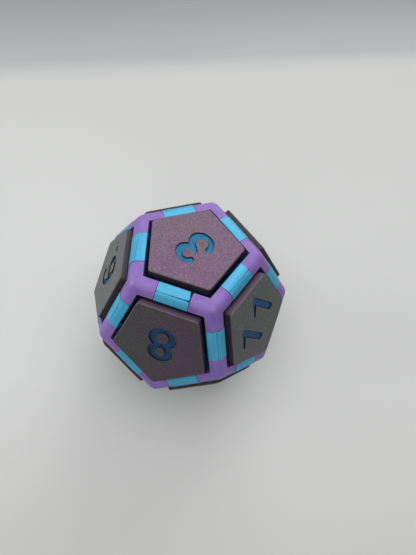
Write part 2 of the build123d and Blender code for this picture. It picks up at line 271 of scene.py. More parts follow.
# ---- the frames: the third coordinate is 1 to 5 on the bars, 0 at their ends and 9 on the walls ----
ARC_Z = FRAME_FACE - EDGE_ROUND
ARC_X = MITRE * ARC_Z
STATIONS = 28
# The softened edge beside the opening: distance from its wall, and depth below the facet.
LIP = [(0, OPENING_TOP - FRAME_FACE), (0, -0.95), (0, -0.47), (0.03, -0.35)]
LIP += [(0.12, -0.2), (0.24, -0.08), (0.38, -0.015), (0.58, 0)]
# How much wider the seam's rounding is at its two ends, as shares of PIT_DEPTH, for the pairs where it shows.
PITS, SHALLOW_PITS = {(3, 8): (0.9, 1.3), (3, 11): (0.3, 0.9), (8, 11): (0.9, 0.3)}, (0.35, 0.35)
# The 3-8 bar, seen closest: slack at its ends, and a notch at the 3's end next to the 11.
LOOSE_PAIR, LOOSE_SLACK = (3, 8), (0.15, 0.15)
NOTCH, NOTCH_START, NOTCH_WIDTH = 0.95, 21.4, 3.4
PIT_DEPTH = PIT_LENGTH = 0.45
HALF_BAR = 6.8            # half the length of a bar
END_WALL = 2.6            # how deep the wall at a bar's end goes
RIDGE = 0.012             # how uneven the print is along a bar


def bar_profile(gap, rounding):
    """The bar's outline from opening to seam: distances from the face's axis, and heights."""
    points = [(OPENING + across, FRAME_FACE + depth) for across, depth in LIP]
    start = points[-1][0]
    for n in range(1, 4):
        points.append((start + (ARC_X - start) * n / 4, FRAME_FACE))
    end = HALF - asin((gap + rounding) / (EDGE_ROUND - rounding))
    for n in range(9):
        a = end * n / 8
        points.append((ARC_X + EDGE_ROUND * sin(a), ARC_Z + EDGE_ROUND * cos(a)))
    centre_x = ARC_X + (EDGE_ROUND - rounding) * sin(end)
    centre_z = ARC_Z + (EDGE_ROUND - rounding) * cos(end)
    for n in range(1, 6):
        a = end + (HALF + pi / 2 - end) * n / 5
        points.append((centre_x + rounding * sin(a), centre_z + rounding * cos(a)))
    last_x, last_z = points[-1]
    for depth in (0.5, 1.0, 2.5):
        points.append((last_x - depth * SIN, last_z - depth * COS))
    return points


def bar_end(x, z, side):
    """How far along its length a point of the bar's outline meets the corner cap's seat."""
    reach = CAP_RADIUS + CAP_GAP
    along = z * cos(CORNER_TILT) + x * sin(CORNER_TILT) * cos(TENTH)
    slope = side * sin(CORNER_TILT) * sin(TENTH)
    a, b, c = 1 - slope * slope, -2 * along * slope, x * x + z * z - along * along - reach * reach
    root = sqrt(max(0.0, b * b - 4 * a * c))
    return min(((-b - root) / (2 * a), (-b + root) / (2 * a)), key=abs)


def edge_frame(k):
    """Outward and lengthwise directions of a face's k-th edge, on the face's own axes."""
    a = CORNERS[k] + TENTH
    return np.array((cos(a), sin(a), 0)), np.array((-sin(a), cos(a), 0))


def neighbour(matrix, k):
    """The numeral on the other side of a face's k-th edge."""
    out, _ = edge_frame(k)
    aim = (matrix.to_3x3() @ Vector(out)).normalized()
    return max(NORMALS, key=lambda n: NORMALS[n].dot(aim))


def add_bar(sheet, matrix, number, k, rng):
    """One of the frame's five bars: facet, rounding to the seam, and the walls at both ends."""
    out, along = edge_frame(k)
    up = np.array((0.0, 0.0, 1.0))
    other = neighbour(matrix, k)
    axis = (matrix.to_3x3() @ Vector(along)).normalized()
    pair = (min(number, other), max(number, other))
    to_eleven = 1 if axis.dot(NORMALS[11]) > 0 else -1
    to_three = 1 if axis.dot(NORMALS[3]) > 0 else -1
    gap, rounding = 0.03 + 0.02 * rng.random(), 0.16 + 0.1 * rng.random()
    slack = LOOSE_SLACK if pair == LOOSE_PAIR else rng.uniform(0.0, 0.07, 2)
    rows, flows = [], []
    shake = rng.normal(0, RIDGE, STATIONS + 1)
    pits = PITS.get(pair, SHALLOW_PITS)
    sign = to_three if pair in ((8, 11), (3, 11)) else -to_eleven
    low, high = pits if sign < 0 else pits[::-1]
    for j in range(STATIONS + 1):
        w = -1 + 2 * j / STATIONS
        w = sin(w * pi / 2 * 0.9) / sin(pi / 2 * 0.9)
        wide, soft = gap, rounding
        if pair == LOOSE_PAIR:
            wide, soft = 0.06 + 0.05 * w * to_eleven, 0.23 + 0.11 * w * to_eleven
        from_low, from_high = (1 + w) * HALF_BAR, (1 - w) * HALF_BAR
        soft += PIT_DEPTH * (low * exp(-from_low / PIT_LENGTH) + high * exp(-from_high / PIT_LENGTH))
        profile = bar_profile(wide, min(soft, 0.9))
        row, flow, run = [], [], 0.0
        for n, (x, z) in enumerate(profile):
            start, stop = bar_end(x, z, -1) + slack[0], bar_end(x, z, 1) - slack[1]
            if pair == LOOSE_PAIR and number == 3:
                trim = NOTCH * max(0.0, min(1.0, (NOTCH_START - x) / NOTCH_WIDTH))
                start, stop = (start + trim, stop) if to_eleven < 0 else (start, stop - trim)
            s = (start + stop) / 2 + w * (stop - start) / 2
            if n:
                run += sqrt((x - profile[n - 1][0]) ** 2 + (z - profile[n - 1][1]) ** 2)
            lift = -RIDGE - abs(shake[j]) if n >= len(LIP) - 1 else 0.0
            row.append(out * (x + lift * SIN) + up * (z + lift * COS) + along * s)
            flow.append((s, run, k + 1))
        rows.append(row)
        flows.append(flow)
    for end in (0, -1):
        side = -1 if end == 0 else 1
        corner = up * cos(CORNER_TILT)
        corner = corner + sin(CORNER_TILT) * (out * cos(TENTH) + side * along * sin(TENTH))
        first = [p + side * along * 0.05 - corner * 0.07 for p in rows[end]]
        depths = [min(END_WALL, (p.dot(out) - BUTTON - BUTTON_ROOM) / corner.dot(out)) for p in first]
        second = [p - corner * depth for p, depth in zip(first, depths)]
        flow = [(f[0], f[1], 0) for f in flows[end]]
        if end == 0:
            rows, flows = [second, first] + rows, [flow, flow] + flows
        else:
            rows, flows = rows + [first, second], flows + [flow, flow]
    sheet.grid([list(r) for r in zip(*rows)], [list(f) for f in zip(*flows)])


def pentagon(inradius, height, per_side=1):
    """Points of a sharp pentagon with a corner towards +Y, anticlockwise from that corner."""
    reach = inradius / cos(TENTH)
    corners = [np.array((reach * cos(a), reach * sin(a), height)) for a in CORNERS]
    points = []
    for k in range(5):
        a, b = corners[k], corners[(k + 1) % 5]
        points += [a + (b - a) * n / per_side for n in range(per_side)]
    return points


def frame_mesh(name, number, matrix):
    """One face's frame: five bars, the opening's wall, the sloping wall and the switch's plate."""
    rng = np.random.default_rng(number)
    sheet = Sheet()
    for k in range(5):
        add_bar(sheet, matrix, number, k, rng)
    top = pentagon(OPENING, 0, 26)
    seat = []
    for p in top:
        towards = max(p[0] * cos(a) + p[1] * sin(a) for a in CORNERS)
        level = (CAP_BOTTOM - CAP_GAP - sin(CORNER_TILT) * towards) / cos(CORNER_TILT)
        seat.append(np.array((p[0], p[1], max(SLOPE_TOP + 0.05, min(OPENING_TOP, level)))))
    wall = [np.array((p[0], p[1], SLOPE_TOP)) for p in top]
    foot = pentagon(MITRE * PLATE_TOP - FRAME_WALL / COS, PLATE_TOP, 26)
    under = pentagon(MITRE * PLATE_BOTTOM - FRAME_FIT, PLATE_BOTTOM)
    rows = [foot, wall, seat]
    sheet.grid(rows, [[(n / 4, 10.0 * i, 9) for n in range(len(top))] for i in range(3)], close=True)
    half = SWITCH_HOLE / 2
    hole = [(half, half), (-half, half), (-half, -half), (half, -half)]
    for height, outer, flip in ((PLATE_TOP, foot, False), (PLATE_BOTTOM, under, True)):
        sheet.fill([outer, hole], lambda x, y, h=height: (x, y, h), lambda x, y: (x, y, 9), flip=flip)
    rows = [[(x, y, h) for x, y in hole] for h in (PLATE_BOTTOM, PLATE_TOP)]
    sheet.grid(rows, [[(x, h, 9) for x, y in hole] for h in (0, 1)], close=True)
    over = pentagon(MITRE * SKIN_BOTTOM - FRAME_FIT, SKIN_BOTTOM)
    sheet.grid([over, under], [[(n, 10.0 * i, 9) for n in range(5)] for i in range(2)], close=True)
    return sheet.mesh(name, matrix)


# ---- the corner caps: the third coordinate is the distance to the top's rim, below 0 under the rim ----
CAP_NORMALS = [np.array(direction(CORNER_TILT, third)) for third in (0, 120, 240)]
AXIS = np.array((0.0, 0.0, 1.0))
# Steps of the softened edge beside an opening: share of RIM, depth, and how far out at its two ends.
ARM_EDGE = [(0.35, 0.08, 0.05), (0.8, 0.22, 0.1), (1.0, 0.42, CAP_EDGE)]
# Steps of the softened edge at a round end: how far out, and depth.
END_EDGE = [(0.07, 0.03), (0.13, 0.1), (CAP_EDGE, 0.22)]
ARM_STEPS, END_STEPS = 12, 25


def cap_height(x, y, inner=CORNER_FACE - EDGE_ROUND):
    """Height of the rounded body over a point of a corner's own plane."""

    def distance(z):
        p = np.array((x, y, z))
        depth = [n.dot(p) - inner for n in CAP_NORMALS]
        best = max(depth)
        for group in ((0,), (1,), (2,), (0, 1), (1, 2), (0, 2), (0, 1, 2)):
            rows = np.array([CAP_NORMALS[n] for n in group])
            share = np.linalg.solve(rows @ rows.T, np.array([depth[n] for n in group]))
            if (share < -1e-9).any():
                continue
            pull = share @ rows
            if all(depth[n] - CAP_NORMALS[n].dot(pull) < 1e-7 for n in range(3) if n not in group):
                best = sqrt(pull.dot(pull))
                break
        return best

    low, high = CORNER_FACE, CORNER_FACE + 10
    for _ in range(32):
        middle = (low + high) / 2
        low, high = (middle, high) if distance(middle) < EDGE_ROUND else (low, middle)
    return (low + high) / 2


def cap_outline():
    """The cap's rim beside each opening: from a round end to the opening's corner and on to the next end."""
    arms = []
    for third, normal in enumerate(CAP_NORMALS):
        a = radians(120 * third)
        towards = np.array((-cos(CORNER_TILT) * cos(a), -cos(CORNER_TILT) * sin(a), sin(CORNER_TILT)))
        side = np.array((sin(a), -cos(a), 0))
        apex = normal * CORNER_FACE + towards * (OPENING + RIM) / cos(TENTH)
        halves = []
        for sign in (-1, 1):
            run = -towards * cos(1.5 * TENTH) + sign * side * sin(1.5 * TENTH)
            low, high = 0.0, 20.0
            for _ in range(40):
                middle = (low + high) / 2
                x, y, _ = apex + run * middle
                inside = x * x + y * y < (CAP_RADIUS - CAP_EDGE) ** 2
                low, high = (middle, high) if inside else (low, middle)
            halves.append([apex + run * low * n / ARM_STEPS for n in range(ARM_STEPS + 1)])
        arms.append(halves[1][:0:-1] + halves[0])
    return arms


def arm_rim(arm, normal):
    """Beside an opening: each point of the rim, the softened edge below it and the foot of the wall."""
    middle = len(arm) // 2
    for n, p in enumerate(arm):
        inward = normal * CORNER_FACE - p
        inward /= np.linalg.norm(inward)
        if n == middle:
            shift = inward * RIM / cos(TENTH)
        else:
            along = arm[middle + (1 if n > middle else -1)] - arm[middle]
            along /= np.linalg.norm(along)
            inward -= inward.dot(along) * along
            shift = inward * RIM / np.linalg.norm(inward)
        if n in (0, len(arm) - 1):
            radial = np.array((p[0], p[1], 0)) / np.hypot(p[0], p[1])
            edge = [p + shift * share - normal * depth + radial * out for share, depth, out in ARM_EDGE]
            edge[-1] = edge[-1] - AXIS * 0.1
            foot = np.array((edge[-1][0], edge[-1][1], CAP_BOTTOM))
        else:
            edge = [p + shift * share - normal * depth for share, depth, _ in ARM_EDGE]
            foot = edge[-1] - normal * (edge[-1][2] - CAP_BOTTOM) / normal[2]
        yield p, edge, foot


def end_rim(start, stop):
    """The same round one end of the cap, between two openings' stretches of rim."""
    first, last = np.arctan2(start[1], start[0]), np.arctan2(stop[1], stop[0])
    last += 2 * pi if last < first else 0
    for n in range(1, END_STEPS):
        a = first + (last - first) * n / END_STEPS
        radial = np.array((cos(a), sin(a), 0))
        x, y, _ = (CAP_RADIUS - CAP_EDGE) * radial
        p = np.array((x, y, cap_height(x, y)))
        edge = [p + radial * out - AXIS * depth for out, depth in END_EDGE]
        yield p, edge, CAP_RADIUS * radial + AXIS * CAP_BOTTOM


def cap_sheet():
    """A corner cap on its own axes: the rounded top, softened edges, walls, underside and pin."""
    sheet = Sheet()
    rim = []
    arms = cap_outline()
    for third, arm in enumerate(arms):
        rim += arm_rim(arm, CAP_NORMALS[third])
        rim += end_rim(arm[-1], arms[(third + 1) % 3][0])
    loop, lower, wall = ([row[k] for row in rim] for k in range(3))
    flat = np.array([p[:2] for p in loop])
    inner = staggered((-8.7, -8.7), (8.8, 8.8), 0.42)
    inner = inner[within(inner, flat)]
    inner = inner[nearest(inner, flat) > 0.24]
    heights = {(round(p[0], 4), round(p[1], 4)): p[2] for p in loop}

    def height(x, y):
        key = (round(x, 4), round(y, 4))
        if key not in heights:
            heights[key] = cap_height(x, y)
        return (x, y, heights[key] - 0.02)

    def place(x, y):
        return (x, y, min(2.0, nearest([(x, y)], flat)[0]))

    def beneath(x, y):
        return (x, y, -2)

    sheet.fill([loop], height, place, extra=inner)
    rows = [[height(p[0], p[1]) for p in loop], *([edge[k] for edge in lower] for k in range(3)), wall]
    flow = [[(p[0], p[1], -i * 0.25) for p in row] for i, row in enumerate(rows)]
    sheet.grid(rows[::-1], flow[::-1], close=True)
    sheet.fill([wall], lambda x, y: (x, y, CAP_BOTTOM), beneath, flip=True)
    ring = circle(PIN_RADIUS, 15)
    tip = [(x * 0.67, y * 0.67) for x, y in ring]
    rows = [(tip, PIN_END), (ring, PIN_END + 0.37), (ring, CAP_BOTTOM)]
    rows = [[(x, y, height) for x, y in points] for points, height in rows]
    sheet.grid(rows, [[beneath(x, y) for x, y in ring]] * 3, close=True)
    sheet.fill([tip], lambda x, y: (x, y, PIN_END), beneath, flip=True)
    return sheet


# ---- the buttons: the third coordinate is 0 on the face, 1 to 2 on its edge, 3 on the sides, 4 at their
# foot, 5 inside and -1 in the numeral's recess ----
SIDE_FOOT = SKIRT_BOTTOM + 0.04
# Rows up a side: how uneven the print is there, and the depth below the face.
SIDE_ROWS = ((0, 1.67), (0.3, 0.57), (1.0, 0.37))
KINDS = (5, 5, 4, 3, 3, 2, 1.2, 1, 0)


def rounded_pentagon(inradius, rounding, per_arc=6, per_side=14):
    """Points of a pentagon with rounded corners, anticlockwise, corner towards +Y."""
    reach = (inradius - rounding) / cos(TENTH)

    def rim(corner, a):
        return reach * np.array((cos(corner), sin(corner))) + rounding * np.array((cos(a), sin(a)))

    points = []
    for corner in CORNERS:
        points += [rim(corner, corner - TENTH + FIFTH * n / per_arc) for n in range(per_arc + 1)]
        start, stop = points[-1], rim(corner + FIFTH, corner + TENTH)
        points += [start + (stop - start) * n / per_side for n in range(1, per_side)]
    return np.array(points)


def number_loops(number, matrix):
    """The outlines of a face's numeral, read from the CAD node of its inlay, on the face's own axes."""
    mesh = frame["nodes"][f"number_{number:02d}"].data
    back = matrix.inverted()
    points = [back @ v.co for v in mesh.vertices]
    keys = [(round(p.x, 3), round(p.y, 3)) for p in points]
    level = max(p.z for p in points)
    edges = {}
    for polygon in mesh.polygons:
        corners = list(polygon.vertices)
        if all(points[c].z > level - 0.02 for c in corners):
            for a, b in zip(corners, corners[1:] + corners[:1]):
                edges[(keys[a], keys[b])] = edges.get((keys[a], keys[b]), 0) + 1
    after = {a: b for a, b in edges if (b, a) not in edges}
    loops = []
    while after:
        start, following = after.popitem()
        loop = [start]
        while following != start:
            loop.append(following)
            following = after.pop(following)
        loops.append(np.array(loop))
    return [refined(loop) for loop in loops]


def refined(loop, step=0.35):
    """The same loop with its long stretches divided."""
    points = []
    for a, b in zip(loop, np.roll(loop, -1, axis=0)):
        count = max(1, ceil(float(np.hypot(*(b - a))) / step))
        points += [a + (b - a) * n / count for n in range(count)]
    return np.array(points)


def grown(loop, amount):
    """A loop moved out from the side that it goes round: its material lies on the left."""
    before, after = np.roll(loop, 1, axis=0), np.roll(loop, -1, axis=0)
    a, b = loop - before, after - loop
    a /= np.maximum(np.hypot(a[:, 0], a[:, 1]), 1e-9)[:, None]
    b /= np.maximum(np.hypot(b[:, 0], b[:, 1]), 1e-9)[:, None]
    right = np.stack((a[:, 1] + b[:, 1], -(a[:, 0] + b[:, 0])), 1)
    size = np.maximum(np.hypot(right[:, 0], right[:, 1]), 0.6)
    return loop + amount * right / size[:, None]


def button_mesh(name, number, matrix, loops):
    """A hollow button: a face with the numeral's recess, a slightly ragged chamfered edge, slightly uneven
    sides and a socket.
    """
    rng = np.random.default_rng(100 + number)
    sheet = Sheet()
    chamfer = rounded_pentagon(BUTTON - FACE_CHAMFER, BUTTON_CORNER + 0.8)
    side = rounded_pentagon(BUTTON, BUTTON_CORNER + 0.4)
    inner = rounded_pentagon(BUTTON - SKIRT_WALL, BUTTON_CORNER / 2)
    ceiling = BUTTON_FACE - BUTTON_TOP
    rough = rng.normal(0, 1, len(side))
    rough = (rough + np.roll(rough, 1)) / 2
    out = side / np.hypot(side[:, 0], side[:, 1])[:, None]
    top = chamfer + out * (0.05 * rough)[:, None] - out * 0.02
    flat = top - out * 0.1
    rows = [(inner, ceiling), (inner, SIDE_FOOT), (side, SIDE_FOOT)]
    for share, depth in SIDE_ROWS:
        wavy = side + out * (0.02 * share * rough)[:, None] - out * 0.02 * share
        rows.append((wavy, BUTTON_FACE - depth + 0.02 * share * rough))
    rows.append((chamfer * 0.1 + side * 0.9 - out * 0.02, BUTTON_FACE - 0.28))
    rows += [(top * 0.9 + side * 0.1, BUTTON_FACE - 0.04), (flat, BUTTON_FACE)]
    rows = [np.column_stack((points, np.broadcast_to(height, len(points)))) for points, height in rows]
    sheet.grid(rows, [[(p[0], p[1], kind) for p in row] for row, kind in zip(rows, KINDS)], close=True)
    lip = [grown(loop, 0.09) for loop in loops]
    rim = [grown(loop, 0.02) for loop in loops]
    ground = np.arange(-19, 19.1, 1.9)
    extra = np.array([(x, y) for x in ground for y in ground])
    extra = extra[within(extra, flat * 0.96)]
    for loop in lip:
        extra = extra[nearest(extra, loop) > 0.3]
    sheet.fill([flat] + lip, lambda x, y: (x, y, BUTTON_FACE), lambda x, y: (x, y, 0), extra=extra)
    for low, middle, high in zip(loops, rim, lip):
        rows = [(high, BUTTON_FACE), (middle * 0.6 + high * 0.4, BUTTON_FACE - 0.025)]
        rows += [(low, height) for height in (BUTTON_FACE - 0.1, NUMBER_FACE, NUMBER_BOTTOM)]
        rows = [[(x, y, height) for x, y in points] for points, height in rows]
        kinds = (0, -1, -1, -1, -1)
        sheet.grid(rows, [[(p[0], p[1], kind) for p in row] for row, kind in zip(rows, kinds)], close=True)
    sheet.fill([inner], lambda x, y: (x, y, ceiling), lambda x, y: (x, y, 5), flip=True)
    ring = circle(SOCKET_RADIUS, 12)
    rows = [[(x, y, height) for x, y in ring] for height in (SOCKET_END, ceiling)]
    sheet.grid(rows, [[(x, y, 5) for x, y in ring]] * 2, close=True)
    return sheet.mesh(name, matrix, sharp=17)


def seated(place, number):
    """The button's own axes: turned, shifted, raised and leaning a little against its opening."""
    turn, across, upward, rise, beside, lean = SEATS[number]
    side = (place.to_3x3().inverted() @ NORMALS[beside]) * MM
    hinge = Vector((side.y, -side.x, 0))
    spin = Matrix.Translation((across, upward, rise)) @ Matrix.Rotation(radians(turn), 4, "Z")
    pivot = Matrix.Translation((0, 0, BUTTON_FACE))
    return place @ spin @ pivot @ Matrix.Rotation(radians(lean), 4, hinge) @ pivot.inverted()


def islands(number, loops):
    """Two places on a face that are printed in small rings: inside closed loops or in open bowls."""
    found = list(BOWLS.get(number, []))
    for loop in loops:
        after = np.roll(loop, -1, axis=0)
        if (loop[:, 0] * after[:, 1] - loop[:, 1] * after[:, 0]).sum() < 0:
            found.append(tuple(loop.mean(0)))
    return (found + [NOWHERE, NOWHERE])[:2]


# ---- the numerals: the third coordinate is the distance to the outline ----
def number_mesh(name, matrix, loops):
    """The inlay, whose print lines follow its outline."""
    sheet = Sheet()
    rim = np.concatenate(loops)
    extra = staggered(rim.min(0), rim.max(0), 0.28)
    extra = extra[within(extra, *loops)]
    extra = extra[nearest(extra, rim) > 0.16]

    def place(x, y):
        return (x, y, nearest([(x, y)], rim)[0])

    sheet.fill(loops, lambda x, y: (x, y, NUMBER_FACE), place, extra=extra)
    for loop in loops:
        rows = [[(x, y, h) for x, y in loop] for h in (NUMBER_BOTTOM, NUMBER_FACE)]
        sheet.grid(rows, [[(x, y, 0) for x, y in loop]] * 2, close=True)
    sheet.fill(loops, lambda x, y: (x, y, NUMBER_BOTTOM), lambda x, y: (x, y, 0), flip=True)
    return sheet.mesh(name, matrix)


# ---- materials ----
class Paint:
    """A material's node tree. Inputs are constants or the outputs of other nodes."""

    def __init__(self, name):
        self.material = bpy.data.materials.new(name)
        self.material.use_nodes = True
        self.tree = self.material.node_tree
        self.shader = self.tree.nodes["Principled BSDF"]

    def add(self, kind, inputs=(), **settings):
        node = self.tree.nodes.new("ShaderNode" + kind)
        for key, value in settings.items():
            setattr(node, key, value)
        for key, value in dict(inputs).items():
            self.set(node.inputs[key], value)
        return node

    def set(self, socket, value):
        if isinstance(value, bpy.types.NodeSocket):
            self.tree.links.new(value, socket)
        else:
            socket.default_value = value

    def math(self, operation, *values, clamp=False):
        node = self.add("Math", operation=operation, use_clamp=clamp)
        for n, value in enumerate(values):
            self.set(node.inputs[n], value)
        return node.outputs[0]

    def mix(self, share, a, b, blend="MIX"):
        node = self.add("Mix", data_type="RGBA", blend_type=blend)
        for n, value in ((0, share), (6, a), (7, b)):
            self.set(node.inputs[n], value)
        return node.outputs[2]

    def noise(self, vector, scale, detail=2.0, rough=0.5, stretch=(1, 1, 1), shift=(0, 0, 0)):
        moved = self.add("Mapping", {"Vector": vector, "Scale": stretch, "Location": shift}).outputs[0]
        made = self.add("TexNoise", {"Vector": moved, "Scale": scale, "Detail": detail, "Roughness": rough})
        return made.outputs[0]

    def vector(self, operation, a, b):
        """A vector from two vectors, or their dot product."""
        node = self.add("VectorMath", {0: a, 1: b}, operation=operation)
        return node.outputs["Value" if operation == "DOT_PRODUCT" else "Vector"]

    def distance(self, x, y):
        """How far a point is from where x and y are 0."""
        squares = self.math("ADD", self.math("MULTIPLY", x, x), self.math("MULTIPLY", y, y))
        return self.math("SQRT", squares)

    def line(self, distance, pitch, sway=0.0):
        """Print lines: a sine wave, one crest for each pitch of the distance."""
        turns = self.math("MULTIPLY", distance, 2 * pi / pitch)
        return self.math("SINE", self.math("ADD", turns, sway))

    def ramp(self, value, low, high, start=0.0, stop=1.0):
        node = self.add("MapRange", {0: value, 1: low, 2: high, 3: start, 4: stop})
        return node.outputs[0]

    def flow(self):
        """The pieces' own coordinates in millimetres: a vector and its three numbers."""
        node = self.add("Attribute", attribute_name="flow")
        split = self.add("SeparateXYZ", {0: node.outputs["Vector"]})
        return node.outputs["Vector"], *split.outputs[:3]

    def tone(self, name):
        """A number that the object carries."""
        return self.add("Attribute", attribute_name=name, attribute_type="OBJECT").outputs["Fac"]

    def bump(self, height, distance, strength=1.0):
        made = self.add("Bump", {"Height": height, "Distance": distance, "Strength": strength})
        return made.outputs["Normal"]

    def finish(self, color, roughness, normal=None, **constants):
        self.set(self.shader.inputs["Base Color"], color)
        self.set(self.shader.inputs["Roughness"], roughness)
        if normal is not None:
            self.set(self.shader.inputs["Normal"], normal)
        for key, value in constants.items():
            self.shader.inputs[key.replace("_", " ")].default_value = value
        return self.material


def srgb(*levels):
    """A display colour, 0 to 255, as the linear colour that the shaders take."""
    shares = [level / 255 for level in levels]
    return (*(v / 12.92 if v <= 0.04 else ((v + 0.055) / 1.055) ** 2.4 for v in shares), 1.0)


# The filaments' colours, as display colours from 0 to 255, with the painted shade, light, highlights and
# sheen that stand in for light on them.
CYAN_LIGHT, CYAN_DEEP = srgb(71, 170, 203), srgb(48, 139, 180)
# The last cyan here is painted shade, for the frames' walls down in the gaps.
CYAN_SHADE, CYAN_PALE, CYAN_WALL_SHADE = srgb(26, 99, 136), srgb(98, 178, 205), srgb(26, 84, 128)
PURPLE_LIGHT, PURPLE_DEEP = srgb(122, 95, 165), srgb(111, 85, 154)
# The last purple here is a painted highlight for the caps' rims.
PURPLE_SHADE, PURPLE_PALE, PURPLE_RIM_HIGHLIGHT = srgb(82, 58, 120), srgb(136, 108, 173), srgb(150, 98, 160)
# The last purple here is painted shade, for the caps' walls down in the gaps.
PURPLE_DOT, PURPLE_WALL_SHADE = srgb(148, 116, 142), srgb(56, 43, 106)
GREY_DEEP, GREY_LIGHT, GREY_STREAK = srgb(50, 53, 53), srgb(106, 112, 109), srgb(79, 69, 78)
# The first two here are the pink of a painted sheen, mixed in per button.
PINK_SHEEN_DEEP, PINK_SHEEN_LIGHT, SPARKLE = srgb(60, 38, 60), srgb(121, 89, 120), srgb(150, 108, 142)
# Painted light for the side that faces up, towards the 3.
SIDE_LIT = srgb(76, 57, 76)
# Painted shade for the buttons' sides down in the gap, darker than their faces, then a painted highlight for
# the chamfer round the face.
SIDE_SHADE_DEEP, SIDE_SHADE_LIGHT, RIM_HIGHLIGHT = srgb(31, 28, 33), srgb(50, 45, 50), srgb(88, 79, 82)
# The first is painted shade for the numerals' recesses.
RECESS_SHADE, BLACK = srgb(14, 20, 28), srgb(0, 0, 0)
BLUE_DEEP, BLUE_LIGHT = srgb(15, 49, 86), srgb(33, 90, 140)
TEAL_DEEP, TEAL_LIGHT = srgb(6, 70, 100), srgb(8, 122, 163)


def cyan_print():
    """Silk cyan filament: strands laid along the edge, each a little different, over fine layer ridges."""
    p = Paint("cyan_print")
    vector, _, v, k = p.flow()
    strands = p.noise(vector, 1.0, 3.0, 0.65, (0.07, 2.2, 3.7))
    fine = p.noise(vector, 1.0, 2.0, 0.6, (0.16, 6.5, 5.3), (2, 9, 4))
    wide = p.noise(vector, 1.0, 2.0, 0.5, (0.10, 0.55, 2.1), (7, 3, 1))
    line = p.line(v, 0.42)
    groove = p.ramp(line, -1.0, -0.5, 1.0, 0.0)
    cloud = p.noise(vector, 0.5, 3.0, 0.55)
    color = p.mix(p.ramp(strands, 0.3, 0.7), CYAN_DEEP, CYAN_LIGHT)
    color = p.mix(p.ramp(fine, 0.5, 0.72, 0.0, 0.6), color, CYAN_SHADE)
    color = p.mix(p.ramp(wide, 0.42, 0.7, 0.0, 0.4), color, CYAN_DEEP)
    color = p.mix(p.math("MULTIPLY", groove, p.ramp(cloud, 0.3, 0.7, 0.1, 0.5)), color, CYAN_SHADE)
    color = p.mix(p.ramp(cloud, 0.45, 0.75, 0.0, 0.2), color, CYAN_PALE)
    # Painted shade: the opening's walls, the lip down into the opening and the bars' ends darken where shade
    # falls in the gaps.
    wall = p.math("MAXIMUM", p.ramp(k, 6.0, 9.0), p.ramp(v, 1.55, 1.3))
    color = p.mix(p.math("MAXIMUM", wall, p.ramp(k, 0.9, 0.1)), color, CYAN_WALL_SHADE)
    height = p.math("ADD", p.math("MULTIPLY", line, 0.3), p.math("MULTIPLY", strands, 1.2))
    rough = p.ramp(strands, 0.3, 0.7, 0.4, 0.58)
    return p.finish(color, rough, p.bump(height, 0.00006, 0.6), Metallic=0.2)


def purple_print():
    """Silk purple filament on the corner caps: fine layer contours, a paler, pinker, ragged rim that is a
    painted highlight, and painted shade on the walls below it.
    """
    p = Paint("purple_print")
    vector, x, y, d = p.flow()
    radius = p.distance(x, y)
    sway = p.noise(vector, 0.25, 2.0, 0.5)
    rings = p.line(radius, 0.55, p.math("MULTIPLY", sway, 4.0))
    inset = p.math("MULTIPLY", p.ramp(p.line(d, 0.45), 0.3, 1.0, 0.0, 0.4), p.ramp(d, 1.9, 1.2))
    fine = p.noise(vector, 3.2, 3.0, 0.65)
    broad = p.noise(vector, 0.3, 2.0, 0.5)
    color = p.mix(p.ramp(broad, 0.35, 0.65), PURPLE_DEEP, PURPLE_LIGHT)
    color = p.mix(p.ramp(rings, 0.1, 1.0, 0.0, 0.3), color, PURPLE_SHADE)
    color = p.mix(inset, color, PURPLE_SHADE)
    color = p.mix(p.ramp(fine, 0.5, 0.75, 0.0, 0.3), color, PURPLE_PALE)
    # Painted highlight: the top near the rim and the softened edge are paler and pinker, where the rounded
    # rim catches the light.
    rim = p.math("MULTIPLY", p.ramp(d, 0.45, 0.05), p.ramp(fine, 0.4, 0.6, 0.1, 0.75))
    color = p.mix(rim, color, PURPLE_RIM_HIGHLIGHT)
    dot = p.math("MULTIPLY", p.ramp(radius, 1.3, 0.3), p.ramp(d, 0.5, 1.0))
    color = p.mix(p.math("MULTIPLY", dot, 0.45), color, PURPLE_DOT)
    # Painted shade: below the rim, the softened edge and the wall darken into the gap.
    color = p.mix(p.ramp(d, -0.12, -0.45), color, PURPLE_WALL_SHADE)
    height = p.math("ADD", p.math("MULTIPLY", rings, 0.22), p.math("MULTIPLY", fine, 0.8))
    height = p.math("ADD", height, p.ramp(radius, 0.9, 0.4, 0.0, 1.2))
    rough = p.ramp(fine, 0.3, 0.7, 0.45, 0.6)
    return p.finish(color, rough, p.bump(height, 0.00006, 0.5), Specular_IOR_Level=0.35, Sheen_Weight=0.05)


def swirl(p, x, y, name):
    """Small rings round a point that the object names."""
    off_x, off_y = (p.math("SUBTRACT", value, p.tone(name + axis)) for value, axis in ((x, "x"), (y, "y")))
    reach = p.distance(off_x, off_y)
    wave = p.math("COSINE", p.math("MULTIPLY", reach, 2 * pi / 0.78))
    return p.math("MULTIPLY", p.ramp(wave, 0.0, 0.8), p.ramp(reach, 1.1, 0.9))


